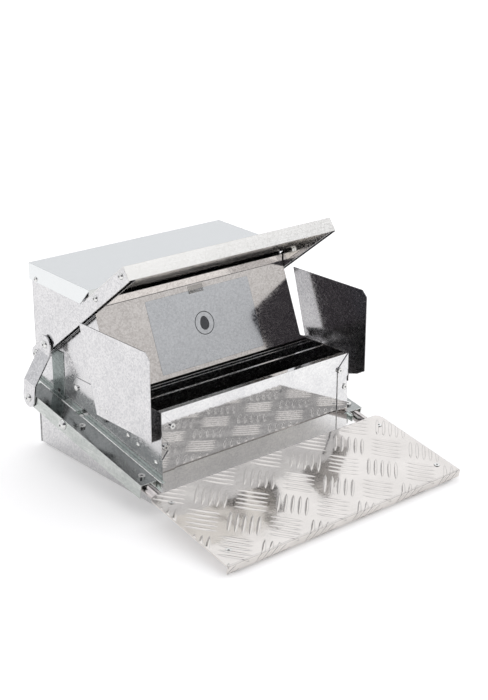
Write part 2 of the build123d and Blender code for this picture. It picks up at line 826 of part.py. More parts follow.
def roof_lid():
    # shallow cover: top sheet, side flanges cut back at the front, short front flange
    half = roof_width / 2
    top = [(roof_front, roof_front_height), (roof_rear, roof_rear_height),
           (roof_rear, roof_rear_height - lid_sheet), (roof_front, roof_front_height - lid_sheet)]
    lid = prism_x(top, -half, half)
    lid += block(-half, half, roof_front, roof_front + lid_sheet,
                 roof_front_height - roof_front_flange, roof_front_height - lid_sheet / 2)
    side = [(roof_front, roof_front_height), (roof_rear, roof_rear_height),
            (roof_rear, roof_rear_height - roof_flange),
            (roof_front + roof_flange_cut, roof_front_height - roof_flange),
            (roof_front, roof_front_height - lid_sheet)]
    flange = prism_x(side, half - lid_sheet, half)
    flange -= bar_x(roof_pivot_y, roof_pivot_z, screw / 2 + run_gap, half - 3, half + 1)
    for piece in both_sides([flange]):
        lid += piece
    return lid


def roof_pivot_screw():
    half = roof_width / 2
    head = half + run_gap
    solids = bolt_with_nut(roof_pivot_y, roof_pivot_z, screw, body_inner - screw * nut_height_ratio,
                           body_inner, head)
    solids.append(washer_x(roof_pivot_y, roof_pivot_z, screw, roof_pivot_bush / 2, body_half,
                           half - lid_sheet - run_gap))
    return group(solids)


def screw_forward(x, y_seat, z, depth):
    # pan-head screw whose head faces -Y
    shank = bar_y(x, z, screw / 2, y_seat, y_seat + depth)
    return shank + bar_y(x, z, screw, y_seat - screw * screw_head_ratio, y_seat)


def screw_outward(y, z, x_seat, depth):
    # pan-head screw whose head faces +X
    shank = bar_x(y, z, screw / 2, x_seat - depth, x_seat)
    return shank + bar_x(y, z, screw, x_seat, x_seat + screw * screw_head_ratio)


def trough_corner_screws():
    screws = [screw_forward(x, face, z, 3 * sheet) for x, z, face in corner_screw_places()]
    return group(both_sides(screws))


def tray_rivet_heads():
    heads = []
    for y, z in tray_rivets:
        shank = bar_x(y, z, rivet / 2, base_inner - seat_gap - sheet, body_half)
        heads.append(shank + domed_head_x(y, z, rivet, body_half, rivet * rivet_dome_ratio))
    return group(both_sides(heads))


def wing_screws():
    screws = [screw_outward(y, z, body_half + sheet, 3 * sheet) for y, z in wing_tab_places()]
    y, z = bracket_screw_place()
    screws.append(screw_outward(y, z, body_half + sheet, 3 * sheet))
    return group(both_sides(screws))


def wing_rivets():
    # set from the inside, flush with the outer face of the wing
    rivets = []
    inside = wing_face - 2 * sheet
    for y, z in bracket_rivet_places():
        rivets.append(bar_x(y, z, rivet / 2, inside, wing_face)
                      + bar_x(y, z, rivet, inside - 1.2, inside))
    return group(both_sides(rivets))


def trough_front():
    panel = trough_front_panel()
    for x, z, _ in corner_screw_places():
        for side in (-1, 1):
            panel -= bar_y(side * x, z, screw / 2, base_front - 2 * sheet, base_front + 1)
    return panel


# every piece, written one file to a node
write("base_tray", base_tray())
write_pair("base_side", base_side())
write_pair("side_rail", side_rail())
write_pair("body_side", body_side())
write_pair("side_stay", side_stay())
write("hopper_front", hopper_front_panel())
write("hopper_back", hopper_back_panel())
write("feed_slope", feed_slope())
write("trough_tray", trough_tray())
write("trough_front", trough_front())
write("trough_rail", trough_rail())
write("feed_gate", feed_gate())
write_pair("trough_corner", trough_corner())
write("trough_corner_screws", trough_corner_screws())
write("tray_rivets", tray_rivet_heads())
write_pair("wing", wing())
write_pair("wing_bracket", wing_bracket())
write("wing_screws", wing_screws())
write("wing_rivets", wing_rivets())
write_pair("treadle_pivot_bolt", treadle_pivot_bolt())
write_pair("pivot_spacer", pivot_spacer())
write_pair("lid_pivot_bolt", lid_pivot_bolt())
write_pair("roof_pivot_screw", roof_pivot_screw())
write("roof_lid", roof_lid())
write("flap_pan", flap_pan())
write_pair("lid_arm", lid_arm())
write("lid_arm_bolts", lid_arm_bolts())
write_pair("link_top_bolt", link_top_bolt())
write_pair("treadle_arm", treadle_arm())
write_pair("treadle_tube", treadle_tube())
write("tread_plate", tread_plate())
write("plate_screws", plate_screws())
write("tube_bolts", tube_bolts())
write_pair("link_bottom_bolt", link_bottom_bolt())
write_pair("link", link())
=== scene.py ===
import bpy
import json
import math
import numpy as np
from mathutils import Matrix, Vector

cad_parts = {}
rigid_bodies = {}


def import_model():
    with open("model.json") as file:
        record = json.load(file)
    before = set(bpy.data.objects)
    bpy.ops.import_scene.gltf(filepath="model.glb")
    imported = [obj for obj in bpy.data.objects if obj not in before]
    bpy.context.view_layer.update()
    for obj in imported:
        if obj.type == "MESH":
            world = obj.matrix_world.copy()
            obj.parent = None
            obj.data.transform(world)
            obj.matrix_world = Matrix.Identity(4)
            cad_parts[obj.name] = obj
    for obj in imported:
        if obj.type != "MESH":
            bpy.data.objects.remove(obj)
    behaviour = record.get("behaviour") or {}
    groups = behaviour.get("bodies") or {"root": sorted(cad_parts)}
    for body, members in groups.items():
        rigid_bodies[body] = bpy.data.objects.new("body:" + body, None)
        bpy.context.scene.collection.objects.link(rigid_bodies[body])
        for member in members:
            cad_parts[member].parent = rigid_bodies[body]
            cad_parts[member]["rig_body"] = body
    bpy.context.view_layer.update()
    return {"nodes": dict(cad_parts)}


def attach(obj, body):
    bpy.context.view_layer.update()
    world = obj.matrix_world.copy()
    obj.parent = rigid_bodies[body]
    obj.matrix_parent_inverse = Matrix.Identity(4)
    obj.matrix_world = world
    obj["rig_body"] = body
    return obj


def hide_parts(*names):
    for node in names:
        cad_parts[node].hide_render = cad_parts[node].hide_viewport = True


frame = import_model()
nodes = frame["nodes"]
print("cad loaded", len(nodes), "nodes")

mm = 0.001


def linear(hexColour):
    # sRGB hex to linear light, one channel at a time
    out = []
    for i in (0, 2, 4):
        c = int(hexColour[i:i + 2], 16) / 255
        out.append(c / 12.92 if c <= 0.04045 else ((c + 0.055) / 1.055) ** 2.4)
    return (*out, 1.0)


def addNode(tree, kind, links=None, sockets=None, **settings):
    # one shader node: settings are its properties, sockets constant inputs, links outputs joined to inputs
    node = tree.nodes.new("ShaderNode" + kind)
    for key, value in settings.items():
        setattr(node, key, value)
    for key, value in (sockets or {}).items():
        node.inputs[key].default_value = value
    for key, output in (links or {}).items():
        tree.links.new(output, node.inputs[key])
    return node


def newMaterial(name):
    # an empty node material and its tree
    material = bpy.data.materials.new(name)
    material.use_nodes = True
    material.node_tree.nodes.clear()
    return material, material.node_tree


def fromTo(span, low, high):
    # the sockets that stretch a span of values in a line to low and high
    return {"From Min": span[0], "From Max": span[1], "To Min": low, "To Max": high}


metalDefaults = {
    "grainMm": 3.2,        # size of a zinc crystal
    "grainStrength": 0.08,
    "cloudMm": 45.0,       # slow stains
    "cloudStrength": 0.10,
    "streakAxis": 0,       # axis the rolling marks run along
    "streakMm": (0.9, 60.0),       # their width and length
    "streakStrength": 0.05,
    "streakRoughness": 0.04,
    "grimeMm": 1.3,
    "grime": 0.0,
    "noiseSpan": (0.3, 0.7),       # values of a noise that are used in full
    "grimeSpan": (0.25, 0.55),
    "toneSpan": (-0.35, 0.25),     # summed strengths from the dark to the light colour
    "edgeMm": 0.6,         # radius of the broken edge
    "bump": 0.25,
    "bumpMm": 0.02,
    "topDark": 0.0,        # painted shade: how much darker the upward faces are
    "topColour": "50545a",
    "topSpan": (0.6, 0.95),
    "waveMm": 45.0,        # slow unevenness of the sheet
    "waveHeight": 0.0,     # its height in mm
    "lean": 0.0,           # degrees the finish leans down, as a sprung sheet does
    "smoothGrain": 0.6,    # share of the roughness on the smoothest crystal
    "dullGrain": 1.4,      # the same on the dullest one
    "cutEdge": 0.7,        # how strongly the edges show: a darker cut tint with painted dark reflection by default, a painted highlight where the colour is light
    "cutSpan": (0.8, 0.97),        # cosine of the turn at an edge
    "cutColour": "4a4a4b",
    "creaseMm": 2.5,       # how far the painted shade of a crease reaches
    # painted shade: how strongly ambient occlusion darkens creases and contacts
    "crease": 0.6,
    "creaseSpan": (0.2, 0.75),
    "creaseColour": "4b4a49",
}


def zincPatterns(tree, v):
    # crystals from cells, rolling marks from noise stretched along one axis, and three plain noises
    coords = addNode(tree, "TexCoord").outputs["Object"]
    cells = addNode(tree, "TexVoronoi", {"Vector": coords}, {
        "Scale": 1 / (v["grainMm"] * mm), "Randomness": 1.0})
    wide, long = v["streakMm"]
    stretch = [1 / (wide * mm)] * 3
    stretch[v["streakAxis"]] = 1 / (long * mm)
    along = addNode(tree, "Mapping", {"Vector": coords}, {"Scale": stretch}).outputs["Vector"]
    patterns = {"cells": addNode(tree, "SeparateColor", {"Color": cells.outputs["Color"]}).outputs["Red"]}
    noises = {                     # place, scale, detail, roughness
        "clouds": (coords, 1 / (v["cloudMm"] * mm), 4.0, 0.55),
        "streaks": (along, 1.0, 3.0, 0.6),
        "specks": (coords, 1 / (v["grimeMm"] * mm), 2.0, 0.7),
        "wave": (coords, 1 / (v["waveMm"] * mm), 1.0, 0.4),
    }
    for word, (place, scale, detail, rough) in noises.items():
        patterns[word] = addNode(tree, "TexNoise", {"Vector": place}, {
            "Scale": scale, "Detail": detail, "Roughness": rough}).outputs["Fac"]
    return patterns


def zincTone(tree, patterns, v):
    # each pattern stretched about zero to its strength and added up; grime, the last one, only darkens
    parts = (("cells", (0.0, 1.0), v["grainStrength"]), ("clouds", v["noiseSpan"], v["cloudStrength"]),
             ("streaks", v["noiseSpan"], v["streakStrength"]), ("specks", v["grimeSpan"], v["grime"]))
    sums = []
    for word, span, strength in parts:
        high = 0.0 if word == "specks" else strength
        part = addNode(tree, "MapRange", {"Value": patterns[word]},
                       fromTo(span, -strength, high)).outputs["Result"]
        if sums:
            part = addNode(tree, "Math", {0: sums[-1], 1: part}, operation="ADD").outputs[0]
        sums.append(part)
    tone = addNode(tree, "MapRange", {"Value": sums[-1]}, fromTo(v["toneSpan"], 0.0, 1.0)).outputs["Result"]
    return sums[-2], tone


def zincColour(tree, tone, edge, light, dark, v):
    # dark to light by the tone, then painted shade on upward faces, cut edges tinted with painted reflection,
    # and painted shade in creases laid over it
    colour = addNode(tree, "Mix", {"Factor": tone}, {6: linear(dark), 7: linear(light)},
                     data_type="RGBA").outputs[2]
    normal = addNode(tree, "NewGeometry").outputs["Normal"]
    turn = addNode(tree, "VectorMath", {0: edge, 1: normal}, operation="DOT_PRODUCT").outputs["Value"]
    # painted shade: ambient occlusion darkens creases, recesses and contacts with the floor
    near = addNode(tree, "AmbientOcclusion", None, {"Distance": v["creaseMm"] * mm}, samples=4).outputs["AO"]
    # edges: a darker tint of the raw cut plus painted dark reflection where the edge colour is dark, a
    # painted highlight where it is light
    layers = [(turn, fromTo(v["cutSpan"], v["cutEdge"], 0.0), v["cutColour"]),
              (near, fromTo(v["creaseSpan"], v["crease"], 0.0), v["creaseColour"])]
    # painted shade: upward faces darkened toward the top colour
    if v["topDark"]:
        up = addNode(tree, "SeparateXYZ", {"Vector": normal}).outputs["Z"]
        layers.insert(0, (up, fromTo(v["topSpan"], 0.0, v["topDark"]), v["topColour"]))
    for value, stretched, hexColour in layers:
        amount = addNode(tree, "MapRange", {"Value": value}, stretched).outputs["Result"]
        colour = addNode(tree, "Mix", {"Factor": amount, 6: colour}, {7: linear(hexColour)},
                         data_type="RGBA").outputs[2]
    return colour


def zincNormal(tree, patterns, relief, edge, v):
    # broken edge, turned down by the lean, then bent by the slow wave and by the fine relief
    if v["lean"]:
        drop = (0.0, 0.0, -math.tan(math.radians(v["lean"])))
        down = addNode(tree, "VectorMath", {0: edge}, {1: drop}, operation="ADD").outputs["Vector"]
        edge = addNode(tree, "VectorMath", {0: down}, operation="NORMALIZE").outputs["Vector"]
    bent = addNode(tree, "Bump", {"Height": patterns["wave"], "Normal": edge},
                   {"Strength": 1.0, "Distance": v["waveHeight"] * mm}).outputs["Normal"]
    height = addNode(tree, "Math", {0: relief, 1: patterns["clouds"]}, operation="ADD").outputs[0]
    return addNode(tree, "Bump", {"Height": height, "Normal": bent},
                   {"Strength": v["bump"], "Distance": v["bumpMm"] * mm}).outputs["Normal"]


def metalSheet(name, light, dark, roughness, **changes):
    # zinc-coated or rolled sheet; the roughness differs from crystal to crystal and along the rolling marks
    v = dict(metalDefaults, **changes)
    material, tree = newMaterial(name)
    patterns = zincPatterns(tree, v)
    relief, tone = zincTone(tree, patterns, v)
    edge = addNode(tree, "Bevel", None, {"Radius": v["edgeMm"] * mm}, samples=4).outputs["Normal"]
    grain = addNode(tree, "MapRange", {"Value": patterns["cells"]},
                    fromTo((0.0, 1.0), roughness * v["smoothGrain"], roughness * v["dullGrain"]))
    marks = addNode(tree, "MapRange", {"Value": patterns["streaks"]},
                    fromTo(v["noiseSpan"], -v["streakRoughness"], v["streakRoughness"]))
    rough = addNode(tree, "Math", {0: grain.outputs["Result"], 1: marks.outputs["Result"]}, operation="ADD")
    shader = addNode(tree, "BsdfPrincipled", {
        "Base Color": zincColour(tree, tone, edge, light, dark, v),
        "Roughness": rough.outputs[0],
        "Normal": zincNormal(tree, patterns, relief, edge, v)}, {"Metallic": 1.0})
    addNode(tree, "OutputMaterial", {"Surface": shader.outputs[0]})
    return material


filmValues = {
    "slowMm": 30.0, "fineMm": 0.8,     # tint changes and print grain
    "tintSpan": (0.75, 1.25), "slowSpan": (0.3, 0.7), "roughShare": (0.8, 1.2),
    "dimple": 0.2, "dimpleMm": 0.01, "coatRoughness": 0.12,
}


def printedFilm(name, colour, colourTwo, roughness, coat):
    # laminated film: slow tint changes, fine print grain, tiny dimples under a clear coat
    v = filmValues
    material, tree = newMaterial(name)
    coords = addNode(tree, "TexCoord").outputs["Object"]
    slow = addNode(tree, "TexNoise", {"Vector": coords}, {"Scale": 1 / (v["slowMm"] * mm), "Detail": 3.0})
    fine = addNode(tree, "TexNoise", {"Vector": coords}, {"Scale": 1 / (v["fineMm"] * mm), "Detail": 2.0})
    total = addNode(tree, "Math", {0: slow.outputs["Fac"], 1: fine.outputs["Fac"]}, operation="ADD")
    amount = addNode(tree, "MapRange", {"Value": total.outputs[0]}, fromTo(v["tintSpan"], 0.0, 1.0))
    tint = addNode(tree, "Mix", {"Factor": amount.outputs["Result"]},
                   {6: linear(colour), 7: linear(colourTwo)}, data_type="RGBA")
    rough = addNode(tree, "MapRange", {"Value": slow.outputs["Fac"]},
                    fromTo(v["slowSpan"], *(roughness * share for share in v["roughShare"])))
    dimples = addNode(tree, "Bump", {"Height": fine.outputs["Fac"]},
                      {"Strength": v["dimple"], "Distance": v["dimpleMm"] * mm})
    shader = addNode(tree, "BsdfPrincipled", {
        "Base Color": tint.outputs[2], "Roughness": rough.outputs["Result"],
        "Normal": dimples.outputs["Normal"]},
        {"Coat Weight": coat, "Coat Roughness": v["coatRoughness"]})
    addNode(tree, "OutputMaterial", {"Surface": shader.outputs[0]})
    return material


mats = {
    # hot-dip zinc on cold-rolled sheet: small crystals, some bright and some dull, slow waves, and stronger
    # painted shade in creases and along the floor
    "sheet": metalSheet("galvanisedSheet", "e2e1e1", "b9b9bb", 0.14, grainMm=2.0, grainStrength=0.2,
                        cloudStrength=0.06, streakStrength=0.03, bump=0.14, waveHeight=0.12, dullGrain=1.8,
                        crease=0.75, creaseMm=3.0),
    # zinc sheet brushed after folding: brighter, with long marks and a little grime
    "lid": metalSheet("brushedZincLid", "f4f3f0", "dad8d4", 0.15, grainMm=2.0, grainStrength=0.12,
                      cloudStrength=0.05, streakStrength=0.1, grime=0.08, bump=0.14),
    # passivated zinc: a dull green grey with upright marks and painted highlights on its edges
    "stay": metalSheet("passivatedStay", "a2aaa8", "737b79", 0.34, streakAxis=2, streakStrength=0.16,
                       edgeMm=0.9, cutColour="e8ebe9", cutEdge=0.9),
    # polished zinc sheet: almost a mirror, a little stained and sprung
    "mirror": metalSheet("polishedZincSheet", "f0f0ef", "c8c8ca", 0.04, grainMm=1.8, grainStrength=0.12,
                         bump=0.12, dullGrain=1.5, cloudStrength=0.14, cloudMm=70.0, waveHeight=0.1,
                         lean=1.6),
    # zinc sheet that had a protective film: smooth, a little warm, with fine specks of its glue
    "panel": metalSheet("filmedZincPanel", "ded9d4", "b7b1ac", 0.08, grime=0.14, grainMm=1.9,
                        grainStrength=0.22, dullGrain=2.0, cloudStrength=0.05, streakStrength=0.02, bump=0.1),
    # skin-passed zinc roof sheet: even, with a cool soft sheen and hardly a crystal
    "roof": metalSheet("coolZincRoof", "e7e9e9", "dadddd", 0.22, grainStrength=0.004, cloudStrength=0.03,
                       streakStrength=0.02, bump=0.03, dullGrain=1.05),
    # roll-formed zinc channel: lengthwise marks, painted shade on its upward faces and painted highlights on
    # its edges
    "channel": metalSheet("dullZincChannel", "d6d8d5", "9aa19d", 0.12, streakAxis=1, topDark=0.42,
                          streakStrength=0.16, cloudMm=25.0, cutColour="f4f4f2", cutEdge=0.85, edgeMm=0.9),
    # folded zinc ledge: as the channel, greener, with wider painted highlights on its edges
    "ledge": metalSheet("dullZincLedge", "ccd5d0", "8f9a95", 0.17, streakAxis=1, streakStrength=0.14,
                        edgeMm=1.1, cutColour="fafaf8", cutEdge=0.95),
    # drawn steel tube: fine drawing lines along it and a warm grey
    "tube": metalSheet("drawnTube", "e0dad8", "a8a3a2", 0.16, streakAxis=1, streakStrength=0.12),
    # rolled aluminium tread plate: warm, bright and wavy between its bars
    "tread": metalSheet("brightTreadAluminium", "e6e2de", "cbc7c3", 0.1, cutEdge=0.2, grainMm=1.2,
                        grainStrength=0.03, bump=0.2, waveMm=38.0, waveHeight=0.7),
    # zinc-plated steel hardware: bright, with strong painted shade around the heads and dark cut edges with
    # painted dark reflection
    "bolt": metalSheet("platedBolt", "f2f2f0", "bdbdba", 0.13, grainMm=1.1, edgeMm=0.5, cutEdge=0.9,
                       crease=0.9, creaseMm=1.6),
    # painted shade: zinc inside the trough and on the feed slope made dark and dull as the shade in there,
    # with a few darker specks
    "inside": metalSheet("dustedZincInside", "4a4846", "242322", 0.5, grime=0.1),
    # clear film laminated on the zinc, which shows through it: cooler than the panel
    "film": metalSheet("clearLabelFilm", "cecfd0", "abacad", 0.09, grime=0.14, grainMm=1.9,
                       grainStrength=0.2, dullGrain=2.0, cloudStrength=0.05, streakStrength=0.02, bump=0.1),
    # matt paper film: warm grey with a soft coat
    "tag": printedFilm("bareTagFilm", "c9c4be", "d6d2cc", 0.4, 0.3),
    # charcoal screen print: dark and half glossy
    "print": printedFilm("charcoalPrint", "3a3c40", "4a4c50", 0.5, 0.4),
    # painted shade: a dark film with little gloss that stands for the shaded inside of a drive recess
    "recess": printedFilm("oiledRecess", "2a2a2c", "3c3c3f", 0.55, 0.2),
    # painted highlight: an almost white zinc hem that stands for the bright line along each ledge's fold
    "bead": metalSheet("rubbedHem", "fbfbf9", "dededc", 0.3, streakAxis=1, cutEdge=0.0, crease=0.2),
    # painted shade: a dark matt line where shade falls in the fold of the seam
    "crease": printedFilm("darkCrease", "3c3b3d", "5a595b", 0.6, 0.0),
}

finishOf = {
    "trough_front": "mirror", "trough_corner_left": "mirror", "trough_corner_right": "mirror",
    "hopper_front": "panel", "roof_lid": "roof", "trough_tray": "inside", "feed_slope": "inside",
    "treadle_arm_left": "channel", "treadle_arm_right": "channel",
    "side_rail_left": "ledge", "side_rail_right": "ledge",
    "side_stay_left": "stay", "side_stay_right": "stay", "flap_pan": "lid",
    "treadle_tube_left": "tube", "treadle_tube_right": "tube", "tread_plate": "tread",
}
hardwareWords = ("bolt", "screw", "rivet", "spacer")     # the other nodes are plain sheet
for name, obj in nodes.items():
    plain = "bolt" if any(word in name for word in hardwareWords) else "sheet"
    obj.data.materials.clear()
    obj.data.materials.append(mats[finishOf.get(name, plain)])
print("cad finishes set")


def meshPiece(name, points, faces, material, body, flatFaces=0):
    # the first flatFaces faces are flat, the others smooth
    mesh = bpy.data.meshes.new(name)
    mesh.from_pydata(points.tolist(), [], [list(map(int, face)) for face in faces])
    mesh.update()
    mesh.polygons.foreach_set("use_smooth", np.arange(len(mesh.polygons)) >= flatFaces)
    obj = bpy.data.objects.new(name, mesh)
    bpy.context.scene.collection.objects.link(obj)
    obj.data.materials.append(mats[material])
    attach(obj, body)
    return obj


def arc(middle, radius, start, stop, steps=9):
    # even steps on a circle about the middle, from one angle in degrees to the other
    a = np.radians(np.linspace(start, stop, steps))
    return np.column_stack([middle[0] + radius * np.cos(a), middle[1] + radius * np.sin(a)])


def slab(outline, low, high):
    # counter-clockwise outline at two heights: top, bottom, and a ring of sides between them
    k = len(outline)
    i = np.arange(k)
    j = (i + 1) % k
    points = np.vstack([np.column_stack([outline, np.full(k, level)]) for level in (low, high)])
    return points, [(i + k).tolist(), i[::-1].tolist()] + np.column_stack([i, j, j + k, i + k]).tolist()


treadleValues = {"pivot": (0.0332, 0.0757), "tilt": 11.0, "plateTop": 0.0085, "plateFront": -0.3643}


def onTreadle(points):
    # flat treadle drawing to its pressed place: turn about X by the tilt, then move to the pivot
    a = math.radians(treadleValues["tilt"])
    x, y, z = points.T
    return np.column_stack([x, y * math.cos(a) - z * math.sin(a) + treadleValues["pivot"][0],
                            y * math.sin(a) + z * math.cos(a) + treadleValues["pivot"][1]])


plateValues = {
    "width": 0.410, "depth": 0.1605, "thickness": 0.002, "corner": 0.011,
    "lip": 0.011, "bend": 0.0022,      # height of the folded front and its outer radius
    "inset": 0.00035,                  # room for the bars' rise on the lip
    "barLength": 0.042, "barWidth": 0.0050, "barRise": 0.0011, "barPitch": 0.0092, "barTurn": 45.0,
    "barPowers": (2.6, 0.75, 3, 6), "barsInGroup": 5, "barGrid": (31, 11), "fewestPoints": 24,
    "pitchAcross": 0.0813, "pitchAlong": 0.066, "firstAlong": 0.024, "shiftAcross": 0.0114,
    "edgeFade": 0.0015, "edgeGap": 0.0001, "edgeSink": 0.00005, "lipGap": 0.0002, "lipFade": 0.7,
}


def plateFold():
    # profile of the rolled bend and the lip, carried across the width and closed at both ends
    v = plateValues
    half, thick, bend, inset = v["width"] / 2, v["thickness"], v["bend"], v["inset"]
    middle = (bend + inset, -bend)
    outer = np.vstack([arc(middle, bend, 90, 180), (inset, -v["lip"])])
    inner = np.vstack([arc(middle, bend - thick, 90, 180), (inset + thick, -v["lip"])])
    profile = np.vstack([outer, inner[::-1]])
    n = len(profile)
    points = np.vstack([np.column_stack([np.full(n, x), profile]) for x in (-half, half)])
    i = np.arange(n)
    j = (i + 1) % n
    sides = np.column_stack([i + n, j + n, j, i])
    i = np.arange(len(outer) - 1)
    end = np.column_stack([i, i + 1, n - 2 - i, n - 1 - i])
    return points, np.vstack([sides, end, end[:, ::-1] + n]).tolist()


def treadPlate():
    # the folded front, a flat slab with round rear corners behind it, and the bars on both
    v = plateValues
    half, depth, c, start = v["width"] / 2, v["depth"], v["corner"], v["bend"] + v["inset"]
    outline = np.vstack([[(-half, start), (half, start)], arc((half - c, depth - c), c, 0, 90),
                         arc((c - half, depth - c), c, 90, 180)])
    points, faces = plateFold()
    for morePoints, moreFaces in (slab(outline, -v["thickness"], 0.0), treadBars()):
        flatCount = len(faces)
        faces += [[i + len(points) for i in face] for face in moreFaces]
        points = np.vstack([points, morePoints])
    return onTreadle(points + (0.0, treadleValues["plateFront"], treadleValues["plateTop"])), faces, flatCount


def overBend(y, lift):
    # distance along the sheet to its place: flat, round the bend, then down the lip, where the lift fades
    v = plateValues
    start, bend, quarter = v["bend"] + v["inset"], v["bend"], math.pi / 2
    u = np.maximum(start - y, 0)
    turn = np.minimum(u / bend, quarter)
    down = np.maximum(u - bend * quarter, 0)
    lift = lift * (1 - v["lipFade"] * turn / quarter)
    flatY = np.where(u > 0, start - bend * np.sin(turn), y)
    return flatY - lift * np.sin(turn), bend * (np.cos(turn) - 1) - down + lift * np.cos(turn)


def edgeFade(x, y):
    # 0 at the sides, the rear edge and its round corners, rising in a line to 1 at edgeFade inward
    v = plateValues
    c = v["corner"]
    dx = np.maximum(np.abs(x) - (v["width"] / 2 - c), 0)
    dy = np.maximum(y - (v["depth"] - c), 0)
    return np.clip((c - np.hypot(dx, dy)) / v["edgeFade"], 0, 1)


def pulledIn(x, y):
    # points past a side or the rear go straight back to just inside it, past a round corner along its radius
    v = plateValues
    half, depth, gap = v["width"] / 2, v["depth"], v["edgeGap"]
    x, y = np.clip(x, gap - half, half - gap), np.minimum(y, depth - gap)
    c = v["corner"] - gap
    mx, my = np.sign(x) * (half - v["corner"]), depth - v["corner"]
    dx, dy = x - mx, y - my
    away = np.hypot(dx, dy)
    past = (dx * np.sign(x) > 0) & (dy > 0) & (away > c)
    scale = np.where(past, c / np.maximum(away, c), 1.0)
    return np.where(past, mx + dx * scale, x), np.where(past, my + dy * scale, y)


def treadBars():
    # lens-shaped bars in crossed groups: the width falls with a power of the distance along, blunted by a
    # root, and the height with a power of the distance across and one of the distance along
    v = plateValues
    half, depth = v["width"] / 2, v["depth"]
    lowest = v["bend"] + v["inset"] - (v["bend"] * (math.pi / 2 - 1) + v["lip"] - v["lipGap"])
    m, k = v["barGrid"]
    u, w = np.meshgrid(np.linspace(-1, 1, m), np.sin(np.linspace(-1, 1, k) * math.pi / 2), indexing="ij")
    taper, blunt, acrossPower, alongPower = v["barPowers"]
    wide = v["barWidth"] / 2 * (1 - np.abs(u) ** taper) ** blunt
    barX, barY = u * v["barLength"] / 2, w * wide
    barZ = v["barRise"] * (1 - np.abs(w) ** acrossPower) * (1 - u ** alongPower)
    grid = np.arange(m * k).reshape(m, k)
    quads = np.stack([grid[:-1, :-1], grid[1:, :-1], grid[1:, 1:], grid[:-1, 1:]], -1).reshape(-1, 4)
    allPoints, allFaces = [], []
    rows = int((depth - v["firstAlong"]) // (v["pitchAlong"] / 2)) + 1
    columns = int(v["width"] // v["pitchAcross"]) + 2
    for row in range(-1, rows + 1):
        even = row % 2 == 0
        turn = math.radians(-v["barTurn"] if even else v["barTurn"])
        along = v["firstAlong"] + row * v["pitchAlong"] / 2
        shift = (0.0 if even else v["pitchAcross"] / 2) - v["shiftAcross"]
        for column in range(columns):
            across = (column - columns // 2) * v["pitchAcross"] + shift
            for bar in range(v["barsInGroup"]):
                offset = (bar - v["barsInGroup"] // 2) * v["barPitch"]
                x = across - offset * math.sin(turn) + barX * math.cos(turn) - barY * math.sin(turn)
                y = along + offset * math.cos(turn) + barX * math.sin(turn) + barY * math.cos(turn)
                inside = (np.abs(x) < half) & (y > lowest) & (y < depth)
                if inside.sum() < v["fewestPoints"]:
                    continue
                x, y = pulledIn(x, np.maximum(y, lowest))
                fade = edgeFade(x, y)
                placeY, placeZ = overBend(y, barZ * fade - v["edgeSink"] * (1 - fade))
                allFaces.append(quads + len(allPoints) * m * k)
                allPoints.append(np.column_stack([x.ravel(), placeY.ravel(), placeZ.ravel()]))
    return np.vstack(allPoints), np.vstack(allFaces)


platePoints, plateFaces, plateFlat = treadPlate()
plate = meshPiece("treadPlateFine", platePoints, plateFaces, "tread", "treadle", plateFlat)
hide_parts("tread_plate")
print("tread plate made", len(plateFaces))

slopeValues = {"base": (-0.0479, 0.136), "lean": 21.66}


def onSlope(points):
    # flat drawing (x, up the slope, off the slope) to the slanted front, turned back by its lean
    a = math.radians(slopeValues["lean"])
    x, up, off = points.T
    return np.column_stack([x, slopeValues["base"][0] + up * math.sin(a) - off * math.cos(a),
                            slopeValues["base"][1] + up * math.cos(a) + off * math.sin(a)])


def roundedOutline(x0, x1, s0, s1, corner):
    # rectangle with quarter-circle corners, counter-clockwise
    left, right, low, high = x0 + corner, x1 - corner, s0 + corner, s1 - corner
    middles = ((right, high), (left, high), (left, low), (right, low))
    return np.vstack([arc(middle, corner, 90 * i, 90 * i + 90, 6) for i, middle in enumerate(middles)])


def ovalOutline(middle, rx, rs, point=0.0, steps=48):
    # ellipse; point > 0 narrows it toward the top as an egg does
    a = np.linspace(0, 2 * math.pi, steps, endpoint=False)
    return np.column_stack([middle[0] + rx * np.cos(a) * (1 - point * np.sin(a)), middle[1] + rs * np.sin(a)])


def ringSlab(outer, inner, low, high):
    # flat ring between two outlines of the same count: top, bottom, outer wall and inner wall
    k = len(outer)
    i = np.arange(k)
    j = (i + 1) % k
    points = np.vstack([np.column_stack([o, np.full(k, h)]) for h in (high, low) for o in (outer, inner)])
    top, bottom = (i, j, k + j, k + i), (2 * k + i, 3 * k + i, 3 * k + j, 2 * k + j)
    outerWall, innerWall = (i, 2 * k + i, 2 * k + j, j), (k + i, k + j, 3 * k + j, 3 * k + i)
    return points, np.vstack([np.column_stack(face) for face in (top, bottom, outerWall, innerWall)]).tolist()


labelValues = {
    "outline": (-0.085, 0.095, 0.006, 0.108), "corner": 0.002, "film": 0.00018,
    "tag": (-0.011, 0.015, 0.1035, 0.1145), "tagCorner": 0.001,
    "middle": (0.003, 0.060), "ring": 0.0165, "ringWidth": 0.0012,
    "egg": (0.0075, 0.0098), "eggPoint": 0.13, "ink": 0.00006,
    "seam": (0.1156, 0.1163), "seamHalf": 0.163, "seamLift": 0.00012,
}


